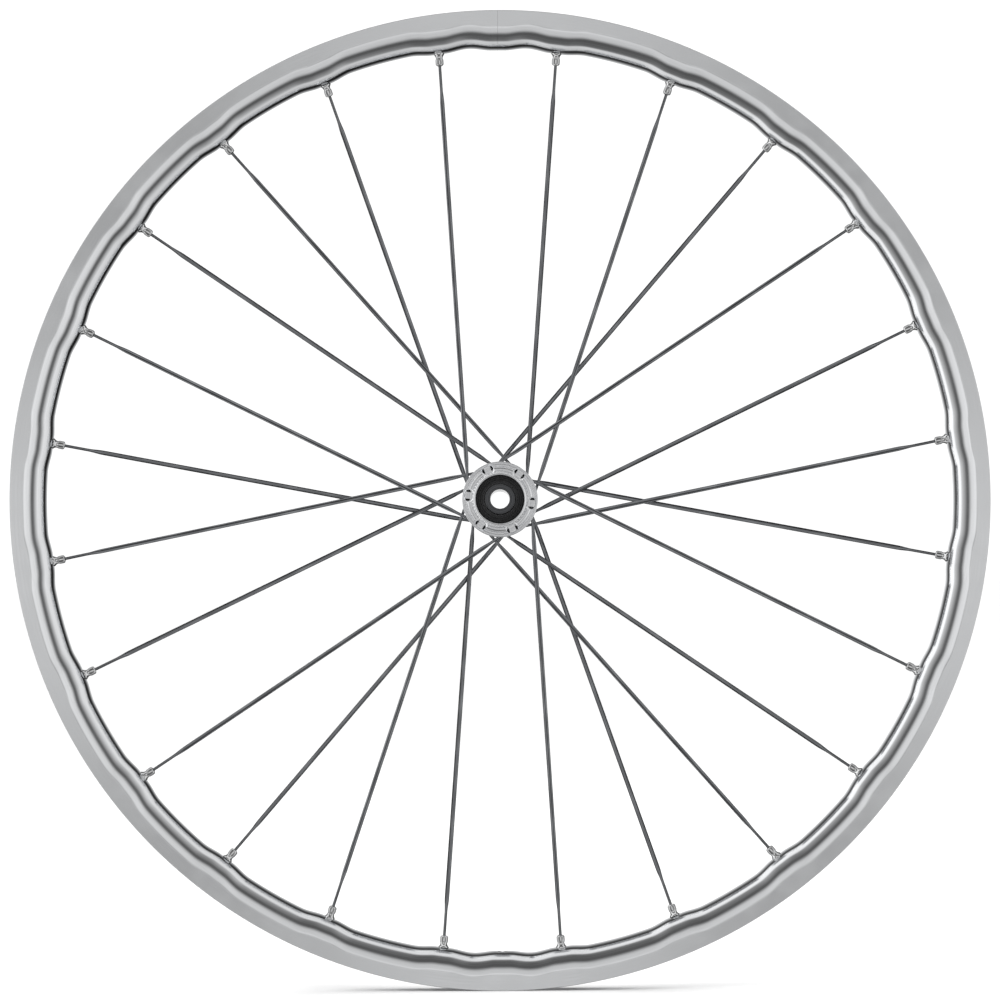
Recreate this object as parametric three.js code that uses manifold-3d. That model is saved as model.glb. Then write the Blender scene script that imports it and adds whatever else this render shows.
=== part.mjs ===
// Front wheel of a road bicycle: shallow alloy rim, 24 straight-pull bladed spokes, and a hub for a
// 12 mm thru axle and a splined brake rotor.
//
// Millimetres. The axle line is Y, +Z is up and the rotor side (the left of the bicycle) faces -Y.
// Angles are in degrees about the axle line, from +X towards +Z. Radii are from the axle line.

import * as THREE from "three";
import { mergeVertices } from "three/addons/utils/BufferGeometryUtils.js";
import Module from "manifold-3d";

const wasm = await Module();
wasm.setup();

// ---- Driving dimensions -------------------------------------------------------------------------

const GAP = 0.3; // clearance between pieces that touch
const RUNNING_GAP = 0.4; // clearance between pieces that turn past each other

// Rim, for 622 mm bead seats
const BEAD_SEAT_RADIUS = 311;
const RIM_FLANGE_HEIGHT = 6;
const RIM_RADIUS = BEAD_SEAT_RADIUS + RIM_FLANGE_HEIGHT;
const RIM_HALF_WIDTH = 12;
const TYRE_HALF_WIDTH = 9.5; // at the bead seats: 19 mm between the walls
const HOOK_HALF_WIDTH = 8.9;
const WELL_HALF_WIDTH = 4.4;
const WELL_RADIUS = 305.2;
const WELL_TOP_HALF_WIDTH = 6.2;
const BRIDGE_THICKNESS = 1.3;
const RIM_WALL_THICKNESS = 1.6;
const LAND_BED_RADIUS = 292; // inner edge of the rim at a spoke
const LAND_WALL_RADIUS = 306.8; // where the flat side wall ends, at a spoke
const RELIEF = 1.7; // depth milled off between spokes
const CHAMBER_BED_RADIUS = 295.4;
const CHAMBER_STEPS = 60;
const LAND_HALF_ANGLE = 1.3; // full-depth land at each spoke
const RELIEF_HALF_ANGLE = 3.3; // full milling depth from here on
const JOINT_ANGLE = 90; // the rim's butt joint has a land of its own
const VALVE_ANGLE = 270; // and so has the valve hole
const VALVE_HOLE_RADIUS = 3.3;
const NIPPLE_HOLE_RADIUS = 3.2;
const HOLE_SIDES = 6;

// Spokes and their lacing
const SPOKE_COUNT = 24;
const SPOKE_STEP = 360 / SPOKE_COUNT;
const FIRST_SPOKE_ANGLE = SPOKE_STEP / 2;
const PAIR_SPREAD = 75; // angle at the axle between a spoke's two ends
const PAIRS_PER_FLANGE = 6;
const CROSSING_OFFSET = 1.6; // half the distance along Y between the two sets that cross
const SHANK_RADIUS = 0.95;
const HEAD_RADIUS = 1.6;
const HEAD_LENGTH = 1.5;
const BLADE_WIDTH = 3;
const BLADE_THICKNESS = 1;
const HUB_ROUND_LENGTH = 12; // round shank next to the hub
const RIM_ROUND_LENGTH = 26; // round shank next to the rim, the part in the nipple included
const BLADE_BLEND_LENGTH = 10;
const SPOKE_SIDES = 6;
const SPOKE_END_DEPTH = 3.5; // how far the spoke reaches past the bed, inside its nipple

// Nipples, measured along the spoke from the rim's bed
const NIPPLE_STAND_OFF = 0.7;
const COLLAR_RADIUS = 3.5; // the collar narrows to the waist
const COLLAR_LENGTH = 1.8;
const WAIST_RADIUS = 2.35;
const WAIST_LENGTH = 0.8;
const BARREL_RADIUS = 2.75;
const BARREL_LENGTH = 4.2;
const BARREL_CHAMFER = 0.6;
const THREAD_RADIUS = 2.5;
const THREAD_LENGTH = 5.2;
const NIPPLE_BORE_RADIUS = 1.45;

// Hub
const HUB_HALF_LENGTH = 50; // 100 mm between the fork's dropouts
const THRU_AXLE_BORE_RADIUS = 6.15;
const AXLE_TUBE_RADIUS = 7.4;
const END_CAP_RADIUS = 9.6;
const END_CHAMFER = 0.4;
const HUB_SEGMENTS = 36;
const SMALL_SEGMENTS = 20;

// Left: the rotor side. Right: the plain side. Positions are along Y.
const SPLINE_END = -43;
const ROTOR_SHOULDER = -34.5;
const ROTOR_SHOULDER_RADIUS = 20.9;
const SHOULDER_BEVEL_WIDTH = 1.2;
const SHOULDER_BEVEL_DEPTH = 0.7;
const SPLINE_TEETH = 52;
const SPLINE_ROOT_RADIUS = 17;
const SPLINE_TIP_RADIUS = 17.75;
const MOUTH_RADIUS = 15.4; // thread for the rotor's lock ring
const MOUTH_BEVEL_WIDTH = 0.85;
const MOUTH_BEVEL_DEPTH = 0.5;
const BARREL_NECK_RADIUS = 13.6;
const HUB_BORE_RADIUS = 11.2;
const RIGHT_BOSS_RADIUS = 14.4;
const RIGHT_BOSS_END = 45;

const LEFT_FLANGE = {
  pairPhase: -7.5,
  tangentRadius: 19.9,
  spokeY: -24,
  outward: -1,
  radius: 24.3,
  outerFace: -31.8,
  innerFace: -18.8,
  pocketMouth: -36,
  pocketFloor: -20.2,
};
const RIGHT_FLANGE = {
  pairPhase: 7.5,
  tangentRadius: 16.5,
  spokeY: 31,
  outward: 1,
  radius: 20.9,
  outerFace: 37.2,
  innerFace: 25,
  pocketMouth: 39,
  pocketFloor: 27.2,
};
const POCKET_LENGTH = 7.2; // around the hub
const POCKET_WIDTH = 4.8;
const POCKET_CORNER = 0.6;
const WEB_LENGTH = 2.4; // between the two holes of a pocket
const WEB_DEPTH = 0.6; // of the web below the flange's face
const CHANNEL_RADIUS = 1.4;
const CHANNEL_LENGTH = 22;

// Bearings: 15 x 28 x 7 on the left and 15 x 24 x 5 on the right
const LEFT_BEARING = { boreRadius: 7.7, outerRadius: 14, width: 7, centre: -33.8 };
const RIGHT_BEARING = { boreRadius: 7.7, outerRadius: 12, width: 5, centre: 40.8 };
const BALLS = 8;
const BALL_SHARE = 0.3; // ball radius over the distance between bore and outer radius
const SHOULDER_SHARE = 0.65; // half the gap between the rings' shoulders over the ball radius
const CAGE_HALF_THICKNESS = 0.4;

// ---- Materials ----------------------------------------------------------------------------------

const FINISHES = {
  polishedAlloy: { color: 0xc9ccce, roughness: 0.25, metalness: 1 },
  machinedAlloy: { color: 0xc4c6c8, roughness: 0.35, metalness: 1 },
  blackAlloy: { color: 0x2c2d2f, roughness: 0.4, metalness: 0.8 },
  darkSteel: { color: 0x6f7276, roughness: 0.28, metalness: 1 },
  bearingSteel: { color: 0xb4b7ba, roughness: 0.2, metalness: 1 },
  brightAlloy: { color: 0xdadcde, roughness: 0.22, metalness: 1 },
  blackRubber: { color: 0x161617, roughness: 0.7, metalness: 0 },
};

// ---- Shared helpers -----------------------------------------------------------------------------

const radians = THREE.MathUtils.degToRad;

// The point at this radius and angle about the axle line.
function polar(radius, angle, y = 0) {
  const turn = radians(angle);
  return new THREE.Vector3(radius * Math.cos(turn), y, radius * Math.sin(turn));
}

function solidOf(geometry) {
  const bare = new THREE.BufferGeometry();
  bare.setAttribute("position", geometry.getAttribute("position"));
  bare.setIndex(geometry.getIndex());
  const merged = mergeVertices(bare, 1e-4);
  const mesh = new wasm.Mesh({
    numProp: 3,
    vertProperties: merged.getAttribute("position").array,
    triVerts: new Uint32Array(merged.getIndex().array),
  });
  return new wasm.Manifold(mesh);
}

function geometryOf(solid) {
  const mesh = solid.getMesh();
  const geometry = new THREE.BufferGeometry();
  geometry.setAttribute("position", new THREE.BufferAttribute(mesh.vertProperties, 3));
  geometry.setIndex(new THREE.BufferAttribute(mesh.triVerts, 1));
  return faceted(geometry);
}

function faceted(geometry) {
  const flat = geometry.toNonIndexed();
  flat.computeVertexNormals();
  return flat;
}

// A solid of revolution about Y. Its outline is [radius, y] pairs, counter-clockwise with the radius
// to the right and y up, and closes on itself.
function turned(outline, segments) {
  const points = [...outline, outline[0]].map(([radius, y]) => new THREE.Vector2(radius, y));
  return new THREE.LatheGeometry(points, segments);
}

// A skin over rows of points that all have the same number of points. A ring joins its last row to
// its first; a bar has a flat cap on each end.
function skinned(rows, isRing) {
  const perRow = rows[0].length;
  const triangles = [];
  const rowPairs = isRing ? rows.length : rows.length - 1;
  for (let row = 0; row < rowPairs; row++) {
    const here = row * perRow;
    const next = ((row + 1) % rows.length) * perRow;
    for (let i = 0; i < perRow; i++) {
      const j = (i + 1) % perRow;
      triangles.push(here + i, here + j, next + i);
      triangles.push(next + i, here + j, next + j);
    }
  }
  if (!isRing) {
    const last = (rows.length - 1) * perRow;
    for (let i = 1; i < perRow - 1; i++) {
      triangles.push(0, i + 1, i);
      triangles.push(last, last + i, last + i + 1);
    }
  }
  const geometry = new THREE.BufferGeometry().setFromPoints(rows.flat());
  geometry.setIndex(triangles);
  return geometry;
}

// Turns a geometry that was made about Y so that its Y runs along the given direction.
function aimed(geometry, direction, position) {
  const turn = new THREE.Quaternion().setFromUnitVectors(new THREE.Vector3(0, 1, 0), direction);
  const place = new THREE.Matrix4().compose(position, turn, new THREE.Vector3(1, 1, 1));
  return geometry.applyMatrix4(place);
}

function rod(radius, start, direction, length, sides) {
  const middle = start.clone().addScaledVector(direction, length / 2);
  return aimed(new THREE.CylinderGeometry(radius, radius, length, sides), direction, middle);
}

function piece(name, geometry, finish) {
  const mesh = new THREE.Mesh(geometry, new THREE.MeshStandardMaterial(finish));
  mesh.name = name;
  return mesh;
}

function numbered(name, index) {
  return name + "_" + String(index + 1).padStart(2, "0");
}

// ---- Lacing -------------------------------------------------------------------------------------

// Every spoke lies along a line that passes the axle at its flange's tangent radius. Neighbouring
// spokes go to opposite flanges, and two by two they lean to opposite sides.
function spokeLine(index) {
  const flange = index % 2 === 0 ? LEFT_FLANGE : RIGHT_FLANGE;
  const lean = index % 4 < 2 ? 1 : -1;
  const rimAngle = FIRST_SPOKE_ANGLE + index * SPOKE_STEP;
  const footToRim = THREE.MathUtils.radToDeg(Math.acos(flange.tangentRadius / LAND_BED_RADIUS));
  const footAngle = rimAngle - lean * footToRim;
  const pocketFromFoot = flange.tangentRadius * Math.tan(radians(footToRim - PAIR_SPREAD));
  const seatFromFoot = pocketFromFoot + POCKET_LENGTH / 2 - 2 * GAP;

  const seat = polar(flange.tangentRadius, footAngle);
  seat.addScaledVector(polar(lean, footAngle + 90), seatFromFoot);
  seat.y = flange.spokeY - lean * flange.outward * CROSSING_OFFSET;
  const rimEnd = polar(LAND_BED_RADIUS, rimAngle);
  const length = seat.distanceTo(rimEnd);
  const along = rimEnd.clone().sub(seat).normalize();
  return { seat, rimEnd, along, length };
}

// ---- Rim ----------------------------------------------------------------------------------------

// Mirrors [half width, radius] pairs, given from the tyre side to the bed, into a closed outline.
function mirroredOutline(half) {
  const other = half.filter(([y]) => y > 0).map(([y, radius]) => [-y, radius]);
  return [...half, ...other.reverse()];
}

// The round underside of the rim or of its chamber: a quarter ellipse from the wall to the middle.
function underside(halfWidth, wallRadius, bedRadius, steps) {
  const points = [];
  for (let i = 0; i <= steps; i++) {
    const turn = ((Math.PI / 2) * i) / steps;
    const y = i === steps ? 0 : halfWidth * Math.cos(turn);
    points.push([y, wallRadius - (wallRadius - bedRadius) * Math.sin(turn)]);
  }
  return points;
}

// relief is 0 on a land and 1 where the rim is milled to its full depth.
function rimOutline(relief) {
  return mirroredOutline([
    [WELL_HALF_WIDTH, WELL_RADIUS],
    [WELL_TOP_HALF_WIDTH, BEAD_SEAT_RADIUS - 0.6],
    [TYRE_HALF_WIDTH, BEAD_SEAT_RADIUS],
    [HOOK_HALF_WIDTH, RIM_RADIUS],
    [RIM_HALF_WIDTH, RIM_RADIUS],
    ...underside(
      RIM_HALF_WIDTH,
      LAND_WALL_RADIUS + relief * RELIEF,
      LAND_BED_RADIUS + relief * RELIEF,
      3,
    ),
  ]);
}

function chamberOutline() {
  const halfWidth = RIM_HALF_WIDTH - RIM_WALL_THICKNESS;
  return mirroredOutline([
    [WELL_HALF_WIDTH, WELL_RADIUS - BRIDGE_THICKNESS],
    [halfWidth, BEAD_SEAT_RADIUS - 2 * BRIDGE_THICKNESS],
    ...underside(halfWidth, LAND_WALL_RADIUS, CHAMBER_BED_RADIUS, 2),
  ]);
}

function angleBetween(a, b) {
  return Math.abs(THREE.MathUtils.euclideanModulo(a - b + 180, 360) - 180);
}

function landAngles() {
  const lands = [JOINT_ANGLE, VALVE_ANGLE];
  for (let index = 0; index < SPOKE_COUNT; index++) {
    lands.push(FIRST_SPOKE_ANGLE + index * SPOKE_STEP);
  }
  return lands;
}

function reliefAt(angle) {
  const nearest = Math.min(...landAngles().map((land) => angleBetween(land, angle)));
  const share = (nearest - LAND_HALF_ANGLE) / (RELIEF_HALF_ANGLE - LAND_HALF_ANGLE);
  return THREE.MathUtils.clamp(share, 0, 1);
}

// The angles at which the rim's section is placed: the corners of each land, and its middle and the
// middle of the milled stretch where the step would otherwise be long.
function rimAngles() {
  const angles = [];
  for (let index = 0; index < SPOKE_COUNT; index++) {
    const land = FIRST_SPOKE_ANGLE + index * SPOKE_STEP;
    const between = land + SPOKE_STEP / 2;
    angles.push(land - RELIEF_HALF_ANGLE, land - LAND_HALF_ANGLE);
    angles.push(land + LAND_HALF_ANGLE, land + RELIEF_HALF_ANGLE);
    if (between === JOINT_ANGLE || between === VALVE_ANGLE) {
      angles.push(between - LAND_HALF_ANGLE, between, between + LAND_HALF_ANGLE);
    } else {
      angles.push(between);
    }
  }
  return angles;
}

function ringOf(angles, outlineAt) {
  const rows = angles.map((angle) =>
    outlineAt(angle).map(([y, radius]) => polar(radius, angle, y)),
  );
  return solidOf(skinned(rows, true));
}

function rim() {
  const chamberAngles = [...Array(CHAMBER_STEPS).keys()].map((i) => (i * 360) / CHAMBER_STEPS);
  let solid = ringOf(rimAngles(), (angle) => rimOutline(reliefAt(angle)));
  solid = solid.subtract(ringOf(chamberAngles, chamberOutline));
  for (let index = 0; index < SPOKE_COUNT; index++) {
    const { rimEnd, along } = spokeLine(index);
    const start = rimEnd.clone().addScaledVector(along, -5);
    solid = solid.subtract(solidOf(rod(NIPPLE_HOLE_RADIUS, start, along, 12, HOLE_SIDES)));
  }
  const inward = polar(1, VALVE_ANGLE);
  const valveStart = polar(LAND_BED_RADIUS - 5, VALVE_ANGLE);
  const valveLength = BEAD_SEAT_RADIUS - LAND_BED_RADIUS + 5;
  solid = solid.subtract(solidOf(rod(VALVE_HOLE_RADIUS, valveStart, inward, valveLength, 12)));
  return geometryOf(solid);
}

// ---- Spokes and nipples -------------------------------------------------------------------------

// Made about Y with the head's seat at the origin; the blade's wide side lies along X.
function spoke(length) {
  const end = length + SPOKE_END_DEPTH;
  const bladeStart = HUB_ROUND_LENGTH + BLADE_BLEND_LENGTH;
  const bladeEnd = end - RIM_ROUND_LENGTH - BLADE_BLEND_LENGTH;
  const stations = [
    [-HEAD_LENGTH, HEAD_RADIUS, HEAD_RADIUS],
    [0, HEAD_RADIUS, HEAD_RADIUS],
    [0, SHANK_RADIUS, SHANK_RADIUS],
    [HUB_ROUND_LENGTH, SHANK_RADIUS, SHANK_RADIUS],
    [bladeStart, BLADE_WIDTH / 2, BLADE_THICKNESS / 2],
    [bladeEnd, BLADE_WIDTH / 2, BLADE_THICKNESS / 2],
    [end - RIM_ROUND_LENGTH, SHANK_RADIUS, SHANK_RADIUS],
    [end, SHANK_RADIUS, SHANK_RADIUS],
  ];
  const rows = stations.map(([y, halfWidth, halfThickness]) => {
    const row = [];
    for (let side = 0; side < SPOKE_SIDES; side++) {
      const turn = (2 * Math.PI * side) / SPOKE_SIDES;
      row.push(new THREE.Vector3(halfWidth * Math.cos(turn), y, -halfThickness * Math.sin(turn)));
    }
    return row;
  });
  return faceted(skinned(rows, false));
}

// Made about Y with the rim's bed at the origin and the rim on the +Y side.
function nipple() {
  const collarTop = -NIPPLE_STAND_OFF;
  const collarBottom = collarTop - COLLAR_LENGTH;
  const barrelTop = collarBottom - WAIST_LENGTH;
  const barrelEnd = barrelTop - BARREL_LENGTH;
  const outline = [
    [NIPPLE_BORE_RADIUS, barrelEnd],
    [BARREL_RADIUS - BARREL_CHAMFER, barrelEnd],
    [BARREL_RADIUS, barrelEnd + BARREL_CHAMFER],
    [BARREL_RADIUS, barrelTop],
    [WAIST_RADIUS, barrelTop + WAIST_LENGTH / 2],
    [WAIST_RADIUS, collarBottom],
    [COLLAR_RADIUS, collarTop],
    [THREAD_RADIUS, collarTop],
    [THREAD_RADIUS, collarTop + THREAD_LENGTH],
    [NIPPLE_BORE_RADIUS, collarTop + THREAD_LENGTH],
  ];
  return faceted(turned(outline, SPOKE_SIDES));
}

// Sets a mesh that was made about Y along a spoke, with its X in the wheel's plane.
function placeAlong(mesh, origin, along) {
  const across = new THREE.Vector3().crossVectors(along, new THREE.Vector3(0, 1, 0)).normalize();
  const normal = new THREE.Vector3().crossVectors(across, along);
  mesh.quaternion.setFromRotationMatrix(new THREE.Matrix4().makeBasis(across, along, normal));
  mesh.position.copy(origin);
  return mesh;
}

// ---- Hub shell ----------------------------------------------------------------------------------

function shellOutline() {
  const leftSeat = LEFT_BEARING.outerRadius + GAP;
  const leftSeatEnd = LEFT_BEARING.centre + LEFT_BEARING.width / 2 + GAP;
  const leftSeatMouth = LEFT_BEARING.centre - LEFT_BEARING.width / 2;
  const rightSeat = RIGHT_BEARING.outerRadius + GAP;
  const rightSeatEnd = RIGHT_BEARING.centre - RIGHT_BEARING.width / 2 - GAP;
  const { radius: leftRadius, outerFace: leftOuter, innerFace: leftInner } = LEFT_FLANGE;
  const { radius: rightRadius, outerFace: rightOuter, innerFace: rightInner } = RIGHT_FLANGE;
  return [
    [MOUTH_RADIUS, SPLINE_END],
    [SPLINE_ROOT_RADIUS - MOUTH_BEVEL_WIDTH, SPLINE_END],
    [SPLINE_ROOT_RADIUS, SPLINE_END + MOUTH_BEVEL_DEPTH],
    [SPLINE_ROOT_RADIUS, ROTOR_SHOULDER],
    [ROTOR_SHOULDER_RADIUS - SHOULDER_BEVEL_WIDTH, ROTOR_SHOULDER],
    [ROTOR_SHOULDER_RADIUS, ROTOR_SHOULDER + SHOULDER_BEVEL_DEPTH],
    [ROTOR_SHOULDER_RADIUS, leftOuter],
    [leftRadius - END_CHAMFER, leftOuter],
    [leftRadius, leftOuter + END_CHAMFER],
    [leftRadius, leftInner - END_CHAMFER],
    [leftRadius - END_CHAMFER, leftInner],
    [BARREL_NECK_RADIUS + 4, leftInner + 2.5],
    [BARREL_NECK_RADIUS + 1, leftInner + 9],
    [BARREL_NECK_RADIUS, 2],
    [BARREL_NECK_RADIUS + 1, rightInner - 8],
    [BARREL_NECK_RADIUS + 3, rightInner - 2.5],
    [rightRadius - END_CHAMFER, rightInner],
    [rightRadius, rightInner + END_CHAMFER],
    [rightRadius, rightOuter - END_CHAMFER],
    [rightRadius - END_CHAMFER, rightOuter],
    [RIGHT_BOSS_RADIUS, rightOuter],
    [RIGHT_BOSS_RADIUS, RIGHT_BOSS_END],
    [rightSeat, RIGHT_BOSS_END],
    [rightSeat, rightSeatEnd],
    [HUB_BORE_RADIUS, rightSeatEnd],
    [HUB_BORE_RADIUS, leftSeatEnd],
    [leftSeat, leftSeatEnd],
    [leftSeat, leftSeatMouth],
    [MOUTH_RADIUS, leftSeatMouth],
  ];
}

// The toothed ring that carries the brake rotor.
function splineRing() {
  const shape = new THREE.Shape();
  const pitch = 360 / SPLINE_TEETH;
  const points = [];
  for (let tooth = 0; tooth < SPLINE_TEETH; tooth++) {
    const tip = polar(SPLINE_TIP_RADIUS, tooth * pitch);
    const root = polar(SPLINE_ROOT_RADIUS - 0.1, (tooth + 0.5) * pitch);
    points.push(new THREE.Vector2(tip.x, tip.z), new THREE.Vector2(root.x, root.z));
  }
  shape.setFromPoints(points);
  const inside = (MOUTH_RADIUS + SPLINE_ROOT_RADIUS) / 2;
  shape.holes.push(new THREE.Path().absarc(0, 0, inside, 0, 2 * Math.PI, true));
  const depth = ROTOR_SHOULDER - SPLINE_END - MOUTH_BEVEL_DEPTH;
  const ring = new THREE.ExtrudeGeometry(shape, { depth, bevelEnabled: false, curveSegments: 12 });
  ring.rotateX(Math.PI / 2);
  ring.translate(0, ROTOR_SHOULDER + 0.1, 0);
  return solidOf(ring);
}

// An oblong hole in a flange, between two places around the hub measured from the pocket's middle and
// between two depths along Y.
function oblong(flange, angle, [start, end], [near, far]) {
  const halfWidth = POCKET_WIDTH / 2;
  const shape = new THREE.Shape();
  const corners = [
    [halfWidth - POCKET_CORNER, end - POCKET_CORNER, 0],
    [POCKET_CORNER - halfWidth, end - POCKET_CORNER, 90],
    [POCKET_CORNER - halfWidth, start + POCKET_CORNER, 180],
    [halfWidth - POCKET_CORNER, start + POCKET_CORNER, 270],
  ];
  for (const [x, y, turn] of corners) {
    shape.absarc(x, y, POCKET_CORNER, radians(turn), radians(turn + 90), false);
  }
  const depth = Math.abs(near - far);
  const cutter = new THREE.ExtrudeGeometry(shape, {
    depth,
    bevelEnabled: false,
    curveSegments: 1,
  });
  cutter.rotateX(Math.PI / 2);
  cutter.translate(0, Math.max(near, far), 0);
  const pairRadius = flange.tangentRadius / Math.cos(radians(pocketLean(flange)));
  cutter.translate(pairRadius, 0, 0);
  cutter.rotateY(radians(-angle));
  return solidOf(cutter);
}

// A pocket in a flange's outer face: two holes, one for each of a pair of spoke heads, and between
// them a web that stops below the face.
function pocket(flange, angle) {
  const end = POCKET_LENGTH / 2;
  const web = WEB_LENGTH / 2;
  const webFace = flange.outerFace - flange.outward * WEB_DEPTH;
  const holeDepths = [flange.pocketMouth, flange.pocketFloor];
  return oblong(flange, angle, [-end, end], [flange.pocketMouth, webFace])
    .add(oblong(flange, angle, [web, end], holeDepths))
    .add(oblong(flange, angle, [-end, -web], holeDepths));
}

// Angle at the axle between a pocket's middle and the foot of either of its spokes.
function pocketLean(flange) {
  const footToRim = THREE.MathUtils.radToDeg(Math.acos(flange.tangentRadius / LAND_BED_RADIUS));
  return footToRim - PAIR_SPREAD;
}

function hubShell() {
  let solid = solidOf(turned(shellOutline(), HUB_SEGMENTS));
  solid = solid.add(splineRing());
  for (const flange of [LEFT_FLANGE, RIGHT_FLANGE]) {
    for (let pair = 0; pair < PAIRS_PER_FLANGE; pair++) {
      const angle = flange.pairPhase + (pair * 360) / PAIRS_PER_FLANGE;
      solid = solid.subtract(pocket(flange, angle));
    }
  }
  for (let index = 0; index < SPOKE_COUNT; index++) {
    const { seat, along } = spokeLine(index);
    const start = seat.clone().addScaledVector(along, -GAP);
    solid = solid.subtract(solidOf(rod(CHANNEL_RADIUS, start, along, CHANNEL_LENGTH, HOLE_SIDES)));
  }
  return geometryOf(solid);
}

// ---- Axle, end cap and seals --------------------------------------------------------------------

// A tube with one end cap turned on it. The cap bears on the left bearing's inner ring.
function axle() {
  const capEnd = LEFT_BEARING.centre - LEFT_BEARING.width / 2 - GAP;
  return turned(
    [
      [THRU_AXLE_BORE_RADIUS, -HUB_HALF_LENGTH],
      [END_CAP_RADIUS - END_CHAMFER, -HUB_HALF_LENGTH],
      [END_CAP_RADIUS, END_CHAMFER - HUB_HALF_LENGTH],
      [END_CAP_RADIUS, capEnd],
      [AXLE_TUBE_RADIUS, capEnd],
      [AXLE_TUBE_RADIUS, HUB_HALF_LENGTH - 3],
      [THRU_AXLE_BORE_RADIUS, HUB_HALF_LENGTH - 3],
    ],
    SMALL_SEGMENTS,
  );
}

// The cap that slips over the axle's right end and bears on the right bearing's inner ring.
function endCap() {
  const innerEnd = RIGHT_BEARING.centre + RIGHT_BEARING.width / 2 + GAP;
  return turned(
    [
      [AXLE_TUBE_RADIUS + GAP, innerEnd],
      [END_CAP_RADIUS, innerEnd],
      [END_CAP_RADIUS, HUB_HALF_LENGTH - END_CHAMFER],
      [END_CAP_RADIUS - END_CHAMFER, HUB_HALF_LENGTH],
      [THRU_AXLE_BORE_RADIUS, HUB_HALF_LENGTH],
      [THRU_AXLE_BORE_RADIUS, HUB_HALF_LENGTH - 3 + GAP],
      [AXLE_TUBE_RADIUS + GAP, HUB_HALF_LENGTH - 3 + GAP],
    ],
    SMALL_SEGMENTS,
  );
}

// The left seal fills the rotor side's wide mouth and has a raised lip on both edges.
function leftSeal() {
  const innerRadius = END_CAP_RADIUS + RUNNING_GAP;
  const outerRadius = MOUTH_RADIUS - GAP;
  const backFace = LEFT_BEARING.centre - LEFT_BEARING.width / 2 - 2 * GAP;
  const frontFace = backFace - 1.2;
  const lipFace = frontFace - 0.5;
  return turned(
    [
      [innerRadius, lipFace],
      [innerRadius + 1.4, lipFace],
      [innerRadius + 1.9, frontFace],
      [outerRadius - 0.8, frontFace],
      [outerRadius - 0.5, lipFace],
      [outerRadius, lipFace],
      [outerRadius, backFace],
      [innerRadius, backFace],
    ],
    SMALL_SEGMENTS,
  );
}

function rightSeal() {
  const innerRadius = END_CAP_RADIUS + RUNNING_GAP;
  const outerRadius = RIGHT_BEARING.outerRadius;
  const backFace = RIGHT_BEARING.centre + RIGHT_BEARING.width / 2 + GAP;
  const frontFace = backFace + 1.2;
  return turned(
    [
      [innerRadius, backFace],
      [outerRadius, backFace],
      [outerRadius, frontFace],
      [innerRadius, frontFace],
    ],
    SMALL_SEGMENTS,
  );
}

// ---- Bearings -----------------------------------------------------------------------------------

function bearingSizes({ boreRadius, outerRadius }) {
  const ballRadius = BALL_SHARE * (outerRadius - boreRadius);
  return {
    ballRadius,
    pitchRadius: (boreRadius + outerRadius) / 2,
    shoulder: SHOULDER_SHARE * ballRadius,
    grooveRadius: ballRadius + GAP,
  };
}

// The ball groove of one ring, from -Y to +Y. side is -1 for the inner ring and 1 for the outer.
function groove(bearing, side) {
  const { pitchRadius, shoulder, grooveRadius } = bearingSizes(bearing);
  const halfAngle = Math.acos(shoulder / grooveRadius);
  const points = [];
  for (const share of [-1, 0, 1]) {
    const turn = share * halfAngle;
    const radius = pitchRadius + side * grooveRadius * Math.cos(turn);
    points.push([radius, bearing.centre + grooveRadius * Math.sin(turn)]);
  }
  return points;
}

function innerRing(bearing) {
  const { pitchRadius, shoulder } = bearingSizes(bearing);
  const half = bearing.width / 2;
  const outline = [
    [bearing.boreRadius, bearing.centre - half],
    [pitchRadius - shoulder, bearing.centre - half],
    ...groove(bearing, -1),
    [pitchRadius - shoulder, bearing.centre + half],
    [bearing.boreRadius, bearing.centre + half],
  ];
  return turned(outline, SMALL_SEGMENTS);
}

function outerRing(bearing) {
  const { pitchRadius, shoulder } = bearingSizes(bearing);
  const half = bearing.width / 2;
  const outline = [
    [pitchRadius + shoulder, bearing.centre - half],
    [bearing.outerRadius, bearing.centre - half],
    [bearing.outerRadius, bearing.centre + half],
    [pitchRadius + shoulder, bearing.centre + half],
    ...groove(bearing, 1).reverse(),
  ];
  return turned(outline, SMALL_SEGMENTS);
}

// The ribbon cage with its balls.
function ballCage(bearing) {
  const { ballRadius, pitchRadius } = bearingSizes(bearing);
  const halfRibbon = 0.6 * ballRadius;
  const ribbon = [
    [pitchRadius - CAGE_HALF_THICKNESS, bearing.centre - halfRibbon],
    [pitchRadius + CAGE_HALF_THICKNESS, bearing.centre - halfRibbon],
    [pitchRadius + CAGE_HALF_THICKNESS, bearing.centre + halfRibbon],
    [pitchRadius - CAGE_HALF_THICKNESS, bearing.centre + halfRibbon],
  ];
  let solid = solidOf(turned(ribbon, 2 * BALLS));
  for (let index = 0; index < BALLS; index++) {
    const ball = new THREE.SphereGeometry(ballRadius, 6, 3);
    const place = polar(pitchRadius, (index * 360) / BALLS, bearing.centre);
    ball.translate(place.x, place.y, place.z);
    solid = solid.add(solidOf(ball));
  }
  return geometryOf(solid);
}

// ---- Assembly -----------------------------------------------------------------------------------

// What stays still in the fork.
function fixedGroup() {
  const group = new THREE.Group();
  group.add(piece("axle", axle(), FINISHES.blackAlloy));
  group.add(piece("end_cap_right", endCap(), FINISHES.blackAlloy));
  group.add(piece("bearing_inner_ring_left", innerRing(LEFT_BEARING), FINISHES.bearingSteel));
  group.add(piece("bearing_inner_ring_right", innerRing(RIGHT_BEARING), FINISHES.bearingSteel));
  return group;
}

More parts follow.
